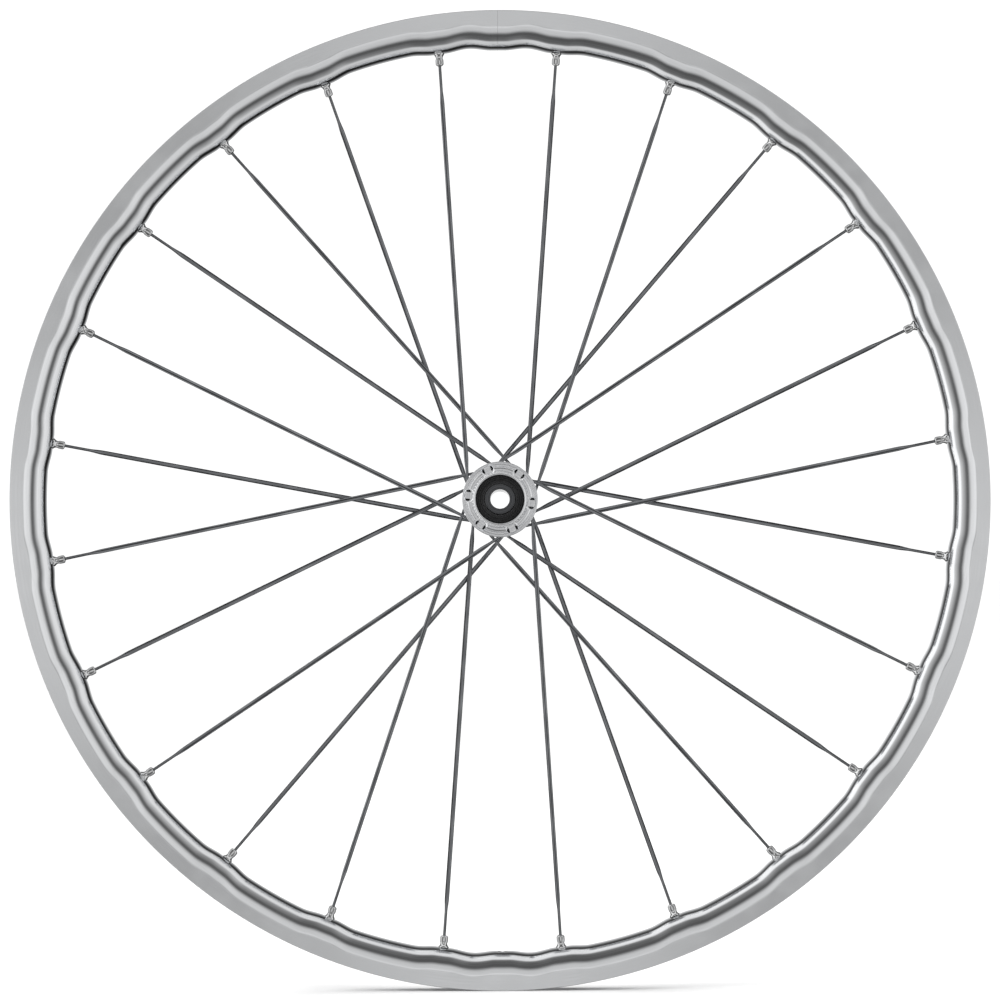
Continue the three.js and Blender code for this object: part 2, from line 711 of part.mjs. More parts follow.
// What turns with the tyre.
function turningGroup() {
  const group = new THREE.Group();
  group.add(piece("rim", rim(), FINISHES.polishedAlloy));
  group.add(piece("hub_shell", hubShell(), FINISHES.machinedAlloy));
  group.add(piece("bearing_outer_ring_left", outerRing(LEFT_BEARING), FINISHES.bearingSteel));
  group.add(piece("bearing_outer_ring_right", outerRing(RIGHT_BEARING), FINISHES.bearingSteel));
  group.add(piece("ball_cage_left", ballCage(LEFT_BEARING), FINISHES.bearingSteel));
  group.add(piece("ball_cage_right", ballCage(RIGHT_BEARING), FINISHES.bearingSteel));
  group.add(piece("dust_seal_left", leftSeal(), FINISHES.blackRubber));
  group.add(piece("dust_seal_right", rightSeal(), FINISHES.blackRubber));
  for (let index = 0; index < SPOKE_COUNT; index++) {
    const { seat, rimEnd, along, length } = spokeLine(index);
    const spokeMesh = piece(numbered("spoke", index), spoke(length), FINISHES.darkSteel);
    const nippleMesh = piece(numbered("nipple", index), nipple(), FINISHES.brightAlloy);
    group.add(placeAlong(spokeMesh, seat, along));
    group.add(placeAlong(nippleMesh, rimEnd, along));
  }
  return group;
}

const wheel = new THREE.Group();
wheel.add(fixedGroup(), turningGroup());

export default wheel;
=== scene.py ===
"""The looks of a road bicycle's front wheel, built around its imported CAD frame.

Shapes are worked out in millimetres and become metres where a mesh is made. The axle line is Y, +Z is
up and the brake rotor's side faces -Y. Angles are in degrees about the axle line, from +X towards +Z.
"""

import math

import bmesh
import bpy
from mathutils import Matrix, Vector


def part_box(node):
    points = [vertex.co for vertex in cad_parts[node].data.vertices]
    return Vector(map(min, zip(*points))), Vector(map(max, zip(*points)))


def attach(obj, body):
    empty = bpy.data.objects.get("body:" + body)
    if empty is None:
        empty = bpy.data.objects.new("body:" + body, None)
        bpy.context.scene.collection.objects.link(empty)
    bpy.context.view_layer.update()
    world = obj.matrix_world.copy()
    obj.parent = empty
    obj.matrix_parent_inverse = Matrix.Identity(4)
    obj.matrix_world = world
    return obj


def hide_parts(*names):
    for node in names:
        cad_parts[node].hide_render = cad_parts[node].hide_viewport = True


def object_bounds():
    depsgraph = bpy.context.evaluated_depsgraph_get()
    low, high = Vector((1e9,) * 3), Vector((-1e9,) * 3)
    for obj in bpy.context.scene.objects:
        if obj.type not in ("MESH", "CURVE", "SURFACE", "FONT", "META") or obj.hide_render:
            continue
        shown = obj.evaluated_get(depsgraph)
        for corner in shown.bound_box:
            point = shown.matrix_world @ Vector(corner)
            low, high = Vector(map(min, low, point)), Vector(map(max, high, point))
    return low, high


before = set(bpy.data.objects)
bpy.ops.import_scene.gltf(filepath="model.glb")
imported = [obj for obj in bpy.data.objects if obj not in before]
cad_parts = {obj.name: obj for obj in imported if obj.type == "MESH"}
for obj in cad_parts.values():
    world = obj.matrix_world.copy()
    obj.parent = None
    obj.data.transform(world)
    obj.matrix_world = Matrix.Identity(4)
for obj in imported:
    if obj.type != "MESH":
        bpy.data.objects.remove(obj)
cad_low, cad_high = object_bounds()

# ---- Driving dimensions, from the frame where it has them -------------------------------------------

MM = 0.001
SHARP_ANGLE = 35  # between two faces, where shading isn't smoothed
RIM_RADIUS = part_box("rim")[1].x / MM
RIM_HALF_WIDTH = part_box("rim")[1].y / MM
HUB_HALF_LENGTH = cad_high.y / MM
SPLINE_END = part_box("hub_shell")[0].y / MM
RIGHT_BOSS_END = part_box("hub_shell")[1].y / MM
END_CAP_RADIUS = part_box("end_cap_right")[1].x / MM
LEFT_SEAL_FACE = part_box("dust_seal_left")[0].y / MM
LEFT_SEAL_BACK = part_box("dust_seal_left")[1].y / MM
RIGHT_SEAL_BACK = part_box("dust_seal_right")[0].y / MM
RIGHT_SEAL_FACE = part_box("dust_seal_right")[1].y / MM

# Rim
BEAD_SEAT_RADIUS = RIM_RADIUS - 6
TYRE_HALF_WIDTH = 9.5
HOOK_HALF_WIDTH = 8.8
HOOK_HEIGHT = 2.6
WELL_HALF_WIDTH = 4.4
WELL_RADIUS = 305.2
WELL_TOP_HALF_WIDTH = 6.2
RIDGE_HEIGHT = 0.35  # keeps the tyre's bead on its seat
LAND_BED_RADIUS = 292
LAND_WALL_RADIUS = 306.8
RELIEF = 1.7  # depth milled off between spokes
LAND_HALF_ANGLE = 0.8
RELIEF_HALF_ANGLE = 3.7
UNDERSIDE_START = 14  # degrees of slope at the wall's edge
JOINT_ANGLE = 90
VALVE_ANGLE = 270
VALVE_HOLE_RADIUS = 3.3
CUTTER_OVERRUN = 5  # so that a cutter's end is well clear of the rim
RIM_ROWS = 1080
UNDERSIDE_STEPS = 36

# Spokes and their lacing
SPOKE_COUNT = 24
SPOKE_STEP = 360 / SPOKE_COUNT
FIRST_SPOKE_ANGLE = SPOKE_STEP / 2
PAIR_SPREAD = 75  # angle at the axle between a spoke's two ends
CROSSING_OFFSET = 1.6
SHANK_RADIUS = 0.95
HEAD_RADIUS = 1.6
HEAD_LENGTH = 1.5
HEAD_PROFILE = [(1, 0.55), (0.92, 0.8), (0.6, 0.97), (0.3, 1)]  # shares of its length and of its radius
FILLET_SWELL = 1.15  # of the shank's radius, under the head
FILLET_LENGTH = 0.8
BLADE_HALF_WIDTH = 1.5
BLADE_HALF_THICKNESS = 0.5
HUB_ROUND_LENGTH = 12
RIM_ROUND_LENGTH = 26
BLADE_BLEND_LENGTH = 10
BLADE_BLEND_STEPS = 8
BLADE_FLAT_SHARE = 0.3  # of the half width
BLADE_EDGE_SHARE = 0.96
BLADE_EDGE_HEIGHT = 0.35  # over the height in the middle
SPOKE_SIDES = 20
SPOKE_END_DEPTH = 3.5

# Nipples, measured along the spoke from the rim's bed
COLLAR_RADIUS = 3.5
COLLAR_LENGTH = 2.2
WAIST_RADIUS = 2.3
WAIST_LENGTH = 0.8
BARREL_RADIUS = 2.7
BARREL_LENGTH = 4.6
FLUTES = 8
FLUTE_DEPTH = 0.12
NIPPLE_BORE_RADIUS = 1.2

# Hub
THRU_AXLE_BORE_RADIUS = 6.15
AXLE_TUBE_RADIUS = 7.4
AXLE_END = 47
BORE_CHAMFER = 0.35
CAP_STEP = 0.4  # from the left seal's back to the end of the cap's wide part
CAP_GAP = 0.1  # between the right cap and the tube
CAP_ROUNDING = 0.4
ROTOR_SHOULDER = -34.5
ROTOR_SHOULDER_RADIUS = 20.9
SHOULDER_BEVEL_WIDTH = 1.2
SHOULDER_BEVEL_DEPTH = 0.7
UNDERCUT_WIDTH = 0.35
UNDERCUT_DEPTH = 0.25
FLANGE_EDGE = 0.5
SHELL_ROUNDING = 0.15
GROOVE_RADIUS = ROTOR_SHOULDER_RADIUS + 1.6
GROOVE_HALF_WIDTH = 0.2
GROOVE_DEPTH = 0.15
SPLINE_TEETH = 52
SPLINE_ROOT_RADIUS = 17
SPLINE_TIP_RADIUS = 17.75
SPLINE_SINK = 0.05  # into the shell, so that no gap shows
SPLINE_RING_THICKNESS = 0.8
SPLINE_CHAMFER = 0.5
SPLINE_END_SHARE = 0.4  # of a tooth's height that is left at its end
MOUTH_RADIUS = 15.4
MOUTH_EDGE = 0.3
MOUTH_BEVEL_WIDTH = 0.9
MOUTH_BEVEL_DEPTH = 0.55
NECK_RADIUS = 13.6
HUB_BORE_RADIUS = 11.2
RIGHT_BOSS_RADIUS = 14.4
LEFT_BEARING_SEAT = 14.3
RIGHT_BEARING_SEAT = 12.3
LEFT_SEAT_MOUTH = -37.3
LEFT_SEAT_END = -30
RIGHT_SEAT_END = 38
SEAL_LIP_GAP = 0.4  # round the end cap
SEAL_EDGE_GAP = 0.05
HUB_SEGMENTS = 192
POCKET_LENGTH = 7.2
POCKET_WIDTH = 4.8
POCKET_CORNER = 1.1
POCKET_BEVEL = 0.5
WEB_LENGTH = 2.4  # between the two holes of a pocket
WEB_DEPTH = 0.6  # of the web below the flange's face
LEDGE_LENGTH = 4.2  # of the web's outer part, which overhangs the spokes' heads
LEDGE_DEPTH = 3
SLOT_WIDTH = 0.5
CUT_OVERLAP = 0.1
SEAT_INSET = 0.6  # from a pocket's end to the seat of a spoke's head
CHANNEL_RADIUS = 1.4
CHANNEL_LENGTH = 22
PAIRS_PER_FLANGE = 6
LEFT_FLANGE = {
    "phase": -7.5,
    "tangent_radius": 19.9,
    "spoke_y": -24,
    "blade_twist": 18,
    "outward": -1,
    "radius": 24.3,
    "outer_face": -31.8,
    "inner_face": -18.8,
    "pocket_mouth": -36,
    "pocket_floor": -20.2,
}
RIGHT_FLANGE = {
    "phase": 7.5,
    "tangent_radius": 16.5,
    "spoke_y": 31,
    "blade_twist": 4,
    "outward": 1,
    "radius": 20.9,
    "outer_face": 37.2,
    "inner_face": 25,
    "pocket_mouth": 39,
    "pocket_floor": 27.2,
}

# Camera: face-on, a little below the axle line
CAMERA_DISTANCE = 3000
CAMERA_DROP = 40
CAMERA_ROLL = -0.3
SENSOR_WIDTH = 36
WHEEL_SHARE = 0.9814  # of the frame's width
FLOOR_HALF_WIDTH = 60000


# ---- Points and outlines ------------------------------------------------------------------------------


def polar(radius, angle, y=0.0):
    turn = math.radians(angle)
    return Vector((radius * math.cos(turn), y, radius * math.sin(turn)))


def smooth_step(share):
    share = min(max(share, 0), 1)
    return share * share * (3 - 2 * share)


def rounded(corners, radius, closed=True, steps=4):
    """The outline with its corners turned into short curves that start radius before each corner."""
    points = [Vector(corner) for corner in corners]
    outline = []
    for i, corner in enumerate(points):
        if not closed and i in (0, len(points) - 1):
            outline.append(corner)
            continue
        before = points[i - 1] - corner
        after = points[(i + 1) % len(points)] - corner
        start = corner + before.normalized() * min(radius, 0.45 * before.length)
        end = corner + after.normalized() * min(radius, 0.45 * after.length)
        for step in range(steps + 1):
            share = step / steps
            near_start = start.lerp(corner, share)
            near_end = corner.lerp(end, share)
            outline.append(near_start.lerp(near_end, share))
    return outline


# ---- Meshes -------------------------------------------------------------------------------------------


def piece(name, points, faces, sharp_angle=SHARP_ANGLE):
    """A mesh object from points in millimetres, smooth except across edges sharper than the angle."""
    mesh = bpy.data.meshes.new(name)
    mesh.from_pydata([point * MM for point in points], [], faces)
    fix_normals(mesh)
    mesh.set_sharp_from_angle(angle=math.radians(sharp_angle))
    made = bpy.data.objects.new(name, mesh)
    bpy.context.scene.collection.objects.link(made)
    return made


def fix_normals(mesh):
    work = bmesh.new()
    work.from_mesh(mesh)
    bmesh.ops.recalc_face_normals(work, faces=work.faces)
    for face in work.faces:
        face.smooth = True
    work.to_mesh(mesh)
    work.free()


def skinned(name, rows, is_ring, sharp_angle=SHARP_ANGLE):
    """A skin over rows that are closed loops. A ring joins its last row to its first."""
    per_row = len(rows[0])
    faces = []
    row_pairs = len(rows) if is_ring else len(rows) - 1
    for row in range(row_pairs):
        here = row * per_row
        following = (row + 1) % len(rows) * per_row
        for i in range(per_row):
            j = (i + 1) % per_row
            faces.append((here + i, here + j, following + j, following + i))
    if not is_ring:
        last = (len(rows) - 1) * per_row
        faces.append(tuple(range(per_row)))
        faces.append(tuple(range(last, last + per_row)))
    points = [point for row in rows for point in row]
    return piece(name, points, faces, sharp_angle)


def turned(name, outline, segments=HUB_SEGMENTS, sharp_angle=SHARP_ANGLE):
    """A solid of revolution about Y from (radius, y) pairs."""
    angles = [360 * i / segments for i in range(segments)]
    rows = [[polar(radius, angle, y) for radius, y in outline] for angle in angles]
    return skinned(name, rows, True, sharp_angle)


def aimed(origin, along):
    """The place at the origin where a piece's Y runs along and its X lies in the wheel's plane."""
    across = along.cross(Vector((0, 1, 0))).normalized()
    normal = across.cross(along)
    place = Matrix((across, along, normal)).transposed().to_4x4()
    place.translation = origin * MM
    return place


def rod(name, radius, start, along, length, sides=24):
    """A round bar, used for cutting holes."""
    place = aimed(start, along)
    rows = []
    for y in (0, length):
        circle = [polar(radius, 360 * side / sides, y) for side in range(sides)]
        rows.append([place @ (point * MM) / MM for point in circle])
    return skinned(name, rows, False)


def cut(target, cutters):
    """Takes the cutters out of the target, and removes them."""
    for cutter in cutters:
        modifier = target.modifiers.new("cut", "BOOLEAN")
        modifier.operation = "DIFFERENCE"
        modifier.solver = "EXACT"
        modifier.object = cutter
    bpy.context.view_layer.update()
    evaluated = target.evaluated_get(bpy.context.evaluated_depsgraph_get())
    mesh = bpy.data.meshes.new_from_object(evaluated)
    target.modifiers.clear()
    target.data = mesh
    for cutter in cutters:
        bpy.data.objects.remove(cutter)


def finished(made, material, slot, body, *nodes):
    """Gives a piece its material, its body and the CAD nodes that it stands for."""
    made.data.materials.clear()
    made.data.materials.append(material)
    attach(made, body)
    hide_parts(*nodes)
    return made


# ---- Materials ----------------------------------------------------------------------------------------


class Finish:
    """A node material in the making: a Principled shader and the nodes that feed it."""

    def __init__(self, name, colour, metallic):
        self.material = bpy.data.materials.new(name)
        self.material.use_nodes = True
        self.nodes = self.material.node_tree.nodes
        self.links = self.material.node_tree.links
        self.shader = self.nodes["Principled BSDF"]
        self.shader.inputs["Base Color"].default_value = (*colour, 1)
        self.shader.inputs["Metallic"].default_value = metallic

    def feed(self, socket, value):
        if isinstance(value, bpy.types.NodeSocket):
            self.links.new(value, socket)
        else:
            socket.default_value = value

    def math(self, operation, *values):
        node = self.nodes.new("ShaderNodeMath")
        node.operation = operation
        for socket, value in zip(node.inputs, values):
            self.feed(socket, value)
        return node.outputs[0]

    def place(self):
        """The point's own place in millimetres, as x, y and z."""
        coordinates = self.nodes.new("ShaderNodeTexCoord").outputs["Object"]
        split = self.nodes.new("ShaderNodeSeparateXYZ")
        self.links.new(coordinates, split.inputs[0])
        return [self.math("DIVIDE", socket, MM) for socket in split.outputs]

    def around(self):
        """Radius and place along the axle, in millimetres."""
        x, y, z = self.place()
        squares = self.math("ADD", self.math("MULTIPLY", x, x), self.math("MULTIPLY", z, z))
        return self.math("SQRT", squares), y

    def vector(self, x, y, z):
        node = self.nodes.new("ShaderNodeCombineXYZ")
        for socket, value in zip(node.inputs, (x, y, z)):
            self.feed(socket, value)
        return node.outputs[0]

    def noise(self, vector, scale, detail=2.0, roughness=0.5):
        node = self.nodes.new("ShaderNodeTexNoise")
        node.inputs["Scale"].default_value = scale
        node.inputs["Detail"].default_value = detail
        node.inputs["Roughness"].default_value = roughness
        self.links.new(vector, node.inputs["Vector"])
        return node.outputs["Fac"]

    def remap(self, value, low, high, to_low, to_high):
        node = self.nodes.new("ShaderNodeMapRange")
        node.interpolation_type = "SMOOTHSTEP"
        for socket, setting in zip(node.inputs, (value, low, high, to_low, to_high)):
            self.feed(socket, setting)
        return node.outputs[0]

    def spread(self, noise, to_low, to_high):
        """Remaps a noise, nearly all of which lies between these two values."""
        return self.remap(noise, 0.3, 0.7, to_low, to_high)

    def blend(self, share, first, second):
        """Mixes two colours by share."""
        node = self.nodes.new("ShaderNodeMix")
        node.data_type = "RGBA"
        self.feed(node.inputs["Factor"], share)
        colours = {"A": (*first, 1), "B": (*second, 1)}
        for socket in node.inputs:
            if socket.type == "RGBA":
                socket.default_value = colours[socket.name]
        return node.outputs[2]

    def colour(self, socket):
        self.links.new(socket, self.shader.inputs["Base Color"])

    def roughness(self, value):
        self.feed(self.shader.inputs["Roughness"], value)

    def bump(self, height, depth, strength=1.0):
        """Relief from a height between 0 and 1 that stands for depth in millimetres."""
        node = self.nodes.new("ShaderNodeBump")
        node.inputs["Strength"].default_value = strength
        node.inputs["Distance"].default_value = depth * MM
        self.links.new(height, node.inputs["Height"])
        self.links.new(node.outputs[0], self.shader.inputs["Normal"])

    def turned_grain(self, anisotropy):
        """Stretches highlights across marks that run around the axle."""
        self.shader.inputs["Anisotropic"].default_value = anisotropy
        node = self.nodes.new("ShaderNodeTangent")
        node.direction_type = "RADIAL"
        node.axis = "Y"
        self.links.new(node.outputs[0], self.shader.inputs["Tangent"])


def rim_alloy():
    """Polished alloy with very fine lines along the rim, faint smears and a hairline at the joint."""
    finish = Finish("polished_rim_alloy", (0.86, 0.87, 0.885), 1)
    radius, y = finish.around()
    x, _, z = finish.place()
    wander = finish.noise(finish.vector(x, y, z), 0.03, 2)
    lines = finish.noise(finish.vector(finish.math("ADD", radius, wander), y, wander), 4, 3)
    smears = finish.noise(finish.vector(x, y, z), 0.05, 4)
    near_joint = finish.remap(finish.math("ABSOLUTE", x), 0.05, 0.2, 0.5, 0)
    at_joint = finish.math("MULTIPLY", near_joint, finish.math("GREATER_THAN", z, 0))
    shade = finish.math("SUBTRACT", finish.spread(lines, 0.9, 1), at_joint)
    finish.colour(finish.blend(shade, (0.42, 0.43, 0.44), (0.87, 0.88, 0.895)))
    polish = finish.remap(smears, 0.35, 0.7, 0.08, 0.12)
    finish.roughness(finish.math("ADD", polish, finish.spread(lines, 0.02, 0)))
    finish.bump(lines, 0.001, 0.3)
    return finish.material


def hub_alloy():
    """Machined alloy with turning rings that follow the radius on faces and the length on barrels."""
    finish = Finish("turned_hub_alloy", (0.84, 0.85, 0.865), 1)
    radius, y = finish.around()
    x, _, z = finish.place()
    spot = finish.vector(x, y, z)
    rings = finish.noise(finish.vector(radius, y, 0.0), 1.5, 2, 0.6)
    fine = finish.noise(finish.vector(radius, y, 0.0), 11, 2)
    patches = finish.noise(spot, 0.25, 4)
    marks = finish.math("ADD", finish.math("MULTIPLY", rings, 0.7), finish.math("MULTIPLY", fine, 0.3))
    turning = finish.remap(marks, 0.36, 0.64, 0, 1)
    tone = finish.math("MULTIPLY", turning, finish.remap(patches, 0.3, 0.65, 0.5, 1))
    finish.colour(finish.blend(tone, (0.69, 0.7, 0.72), (0.98, 0.985, 0.99)))
    finish.roughness(finish.spread(patches, 0.1, 0.18))
    finish.bump(marks, 0.015, 0.5)
    finish.turned_grain(0.25)
    return finish.material


def spoke_steel():
    """Cold-drawn steel: fine lines along the spoke and slow changes of tone."""
    finish = Finish("drawn_spoke_steel", (0.3, 0.31, 0.33), 1)
    x, y, z = finish.place()
    drawn = finish.noise(finish.vector(x, finish.math("MULTIPLY", y, 0.02), z), 2.5, 3)
    tone = finish.noise(finish.vector(x, y, z), 0.06, 2)
    streaks = finish.spread(drawn, 0.3, 1)
    shade = finish.math("MULTIPLY", streaks, finish.spread(tone, 0.6, 1))
    finish.colour(finish.blend(shade, (0.085, 0.088, 0.093), (0.31, 0.32, 0.335)))
    finish.roughness(finish.spread(drawn, 0.13, 0.09))
    finish.bump(drawn, 0.004, 0.4)
    return finish.material


def nipple_alloy():
    """Bright machined alloy with tool marks across the spoke."""
    finish = Finish("bright_nipple_alloy", (0.8, 0.805, 0.81), 1)
    radius, y = finish.around()
    marks = finish.noise(finish.vector(radius, y, 0.0), 6, 3)
    shade = finish.spread(marks, 0, 1)
    finish.colour(finish.blend(shade, (0.66, 0.665, 0.67), (0.92, 0.925, 0.93)))
    finish.roughness(finish.spread(marks, 0.16, 0.1))
    finish.bump(marks, 0.006, 0.4)
    return finish.material


def black_anodised():
    """Black anodised alloy with turning marks under the colour, a painted highlight round the caps' outer
    edge, and a smooth reamed bore.
    """
    finish = Finish("black_anodised_alloy", (0.045, 0.046, 0.05), 1)
    radius, y = finish.around()
    marks = finish.noise(finish.vector(radius, y, 0.0), 2.2, 3)
    # Painted highlight: the colour is lighter over the end caps' outermost half millimetre, where their
    # edge catches the light.
    edge_highlight = finish.remap(radius, END_CAP_RADIUS - 0.5, END_CAP_RADIUS, 0, 0.5)
    reamed = finish.remap(radius, THRU_AXLE_BORE_RADIUS + 0.05, THRU_AXLE_BORE_RADIUS + 0.15, 1, 0)
    shade = finish.math("MAXIMUM", edge_highlight, finish.remap(marks, 0.35, 0.7, 0, 0.5))
    finish.colour(finish.blend(shade, (0.07, 0.072, 0.077), (0.2, 0.203, 0.21)))
    turned = finish.spread(marks, 0.42, 0.32)
    finish.roughness(finish.math("SUBTRACT", turned, finish.math("MULTIPLY", reamed, 0.25)))
    finish.bump(marks, 0.01, 0.4)
    return finish.material


def seal_rubber():
    """Moulded rubber, nearly black, with fine moulding rings and a dusty bloom."""
    finish = Finish("moulded_seal_rubber", (0.014, 0.014, 0.015), 0)
    radius, y = finish.around()
    x, _, z = finish.place()
    rings = finish.noise(finish.vector(radius, y, 0.0), 3.5, 2)
    grain = finish.noise(finish.vector(x, y, z), 6, 3)
    near_cap = finish.remap(radius, END_CAP_RADIUS + 1.5, END_CAP_RADIUS + 3, 1, 0)
    dusty = finish.math("MAXIMUM", finish.remap(rings, 0.4, 0.7, 0, 0.7), near_cap)
    bloom = finish.math("MULTIPLY", dusty, finish.remap(grain, 0.4, 0.7, 0.3, 1))
    finish.colour(finish.blend(bloom, (0.01, 0.01, 0.011), (0.045, 0.045, 0.047)))
    finish.roughness(finish.spread(grain, 0.5, 0.7))
    finish.bump(grain, 0.03, 0.4)
    return finish.material


def bearing_steel():
    """Ground bearing steel with grinding rings."""
    finish = Finish("ground_bearing_steel", (0.6, 0.61, 0.63), 1)
    radius, y = finish.around()
    marks = finish.noise(finish.vector(radius, y, 0.0), 8, 3)
    finish.colour(finish.blend(finish.spread(marks, 0, 1), (0.5, 0.51, 0.53), (0.66, 0.67, 0.69)))
    finish.roughness(finish.spread(marks, 0.24, 0.14))
    finish.bump(marks, 0.004, 0.3)
    return finish.material


def floor_paint():
    """A plain pale matt floor with a faint unevenness."""
    finish = Finish("pale_matt_floor", (0.93, 0.93, 0.93), 0)
    x, y, z = finish.place()
    patches = finish.noise(finish.vector(x, y, z), 0.004, 3)
    finish.colour(finish.blend(patches, (0.95, 0.95, 0.95), (0.99, 0.99, 0.99)))
    finish.roughness(0.9)
    finish.shader.inputs["Specular IOR Level"].default_value = 0
    return finish.material


# ---- Lacing -------------------------------------------------------------------------------------------


def flange_of(index):
    return LEFT_FLANGE if index % 2 == 0 else RIGHT_FLANGE


def lean_of(index):
    """1 for a spoke that leans forward around the axle on its way out, and -1 for one that leans back."""
    return 1 if index % 4 < 2 else -1


def blade_twist(index):
    """Degrees that a blade has turned about its own length while its nipple was screwed tight."""
    return flange_of(index)["blade_twist"] * lean_of(index) + 2.5 * math.sin(2.4 * index)


def foot_to_rim(flange):
    """Angle at the axle between a spoke's nearest point to the axle and its rim end."""
    return math.degrees(math.acos(flange["tangent_radius"] / LAND_BED_RADIUS))


def spoke_line(index):
    """Where a spoke's head is seated, where it reaches the rim's bed, and its direction."""
    flange = flange_of(index)
    lean = lean_of(index)
    rim_angle = FIRST_SPOKE_ANGLE + index * SPOKE_STEP
    foot_angle = rim_angle - lean * foot_to_rim(flange)
    pocket_from_foot = flange["tangent_radius"] * math.tan(math.radians(foot_to_rim(flange) - PAIR_SPREAD))
    seat_from_foot = pocket_from_foot + POCKET_LENGTH / 2 - SEAT_INSET
    seat = polar(flange["tangent_radius"], foot_angle)
    seat += polar(lean * seat_from_foot, foot_angle + 90)
    seat.y = flange["spoke_y"] - lean * flange["outward"] * CROSSING_OFFSET
    rim_end = polar(LAND_BED_RADIUS, rim_angle)
    return seat, rim_end, (rim_end - seat).normalized()


# ---- Rim ----------------------------------------------------------------------------------------------


def relief_at(angle):
    """0 on the lands at the spokes, the joint and the valve, and 1 where the rim is milled between them."""
    lands = [FIRST_SPOKE_ANGLE + index * SPOKE_STEP for index in range(SPOKE_COUNT)]
    lands += [JOINT_ANGLE, VALVE_ANGLE]
    nearest = min(abs((land - angle + 180) % 360 - 180) for land in lands)
    return smooth_step((nearest - LAND_HALF_ANGLE) / (RELIEF_HALF_ANGLE - LAND_HALF_ANGLE))


def rim_outline(relief):
    """The section as (y, radius) pairs: the hooks, bead seats and well, then the round underside."""
    wall = LAND_WALL_RADIUS + relief * RELIEF
    bed = LAND_BED_RADIUS + relief * RELIEF
    hook_foot = RIM_RADIUS - HOOK_HEIGHT
    half = [
        (RIM_HALF_WIDTH, wall + 0.3),
        (RIM_HALF_WIDTH, RIM_RADIUS - 1),
        (RIM_HALF_WIDTH, RIM_RADIUS),
        (HOOK_HALF_WIDTH, RIM_RADIUS),
        (HOOK_HALF_WIDTH, hook_foot + 0.8),
        (TYRE_HALF_WIDTH, hook_foot),
        (TYRE_HALF_WIDTH, BEAD_SEAT_RADIUS),
        (WELL_TOP_HALF_WIDTH + 0.5, BEAD_SEAT_RADIUS - 0.1),
        (WELL_TOP_HALF_WIDTH, BEAD_SEAT_RADIUS + RIDGE_HEIGHT),
        (WELL_TOP_HALF_WIDTH - 0.5, BEAD_SEAT_RADIUS - 0.6),
        (WELL_HALF_WIDTH, WELL_RADIUS),
    ]
    other_half = [(-y, radius) for y, radius in reversed(half)]
    outline = rounded(half + other_half, 0.6, closed=False)
    first = math.radians(UNDERSIDE_START)
    for step in range(UNDERSIDE_STEPS + 1):
        turn = math.pi - first - (math.pi - 2 * first) * step / UNDERSIDE_STEPS
        depth = (math.sin(turn) - math.sin(first)) / (1 - math.sin(first))
        y = RIM_HALF_WIDTH * math.cos(turn) / math.cos(first)
        outline.append(Vector((y, wall - (wall - bed) * depth)))
    return outline


def rim():
    rows = []
    for row in range(RIM_ROWS):
        angle = row * 360 / RIM_ROWS
        rows.append([polar(radius, angle, y) for y, radius in rim_outline(relief_at(angle))])
    made = skinned("rim_visual", rows, True, 50)
    outward = polar(1, VALVE_ANGLE)
    start = polar(LAND_BED_RADIUS - CUTTER_OVERRUN, VALVE_ANGLE)
    length = BEAD_SEAT_RADIUS - LAND_BED_RADIUS + CUTTER_OVERRUN
    cut(made, [rod("valve_cutter", VALVE_HOLE_RADIUS, start, outward, length, 48)])
    return finished(made, rim_alloy(), "rim_alloy", "wheel", "rim")


# ---- Spokes and nipples -------------------------------------------------------------------------------


def blade_height(across):
    """A blade's height over its middle's, from 0 at the middle to 1 at the edge: flat, sloping, round."""
    if across < BLADE_FLAT_SHARE:
        return 1
    if across < BLADE_EDGE_SHARE:
        slope = (1 - BLADE_EDGE_HEIGHT) / (BLADE_EDGE_SHARE - BLADE_FLAT_SHARE)
        return 1 - slope * (across - BLADE_FLAT_SHARE)
    inside_edge = (across - BLADE_EDGE_SHARE) / (1 - BLADE_EDGE_SHARE)
    return BLADE_EDGE_HEIGHT * math.sqrt(max(0, 1 - inside_edge * inside_edge))


def spoke_section(y, half_width, half_thickness, bladed):
    """A row across a spoke: round where bladed is 0, and a blade's section where it is 1."""
    row = []
    for side in range(SPOKE_SIDES):
        turn = 2 * math.pi * side / SPOKE_SIDES
        rise = math.sin(turn)
        lifted = abs(rise) * (1 - bladed) + blade_height(abs(math.cos(turn))) * bladed
        row.append(Vector((half_width * math.cos(turn), y, -half_thickness * math.copysign(lifted, rise))))
    return row


def spoke_rows(length):
    """Rows from the head's top to the end inside the nipple, with the head's seat at y = 0."""
    end = length + SPOKE_END_DEPTH
    rows = [round_row(-above * HEAD_LENGTH, share * HEAD_RADIUS) for above, share in HEAD_PROFILE]
    rows.append(round_row(0, SHANK_RADIUS * FILLET_SWELL))
    rows.append(round_row(FILLET_LENGTH, SHANK_RADIUS))
    for step in range(BLADE_BLEND_STEPS + 1):
        share = step / BLADE_BLEND_STEPS
        rows.append(blade_row(HUB_ROUND_LENGTH + BLADE_BLEND_LENGTH * share, smooth_step(share)))
    for step in range(BLADE_BLEND_STEPS + 1):
        share = 1 - step / BLADE_BLEND_STEPS
        rows.append(blade_row(end - RIM_ROUND_LENGTH - BLADE_BLEND_LENGTH * share, smooth_step(share)))
    rows.append(round_row(end, SHANK_RADIUS))
    return rows


def round_row(y, radius):
    return spoke_section(y, radius, radius, 0)


def blade_row(y, share):
    half_width = SHANK_RADIUS + (BLADE_HALF_WIDTH - SHANK_RADIUS) * share
    half_thickness = SHANK_RADIUS + (BLADE_HALF_THICKNESS - SHANK_RADIUS) * share
    return spoke_section(y, half_width, half_thickness, share)


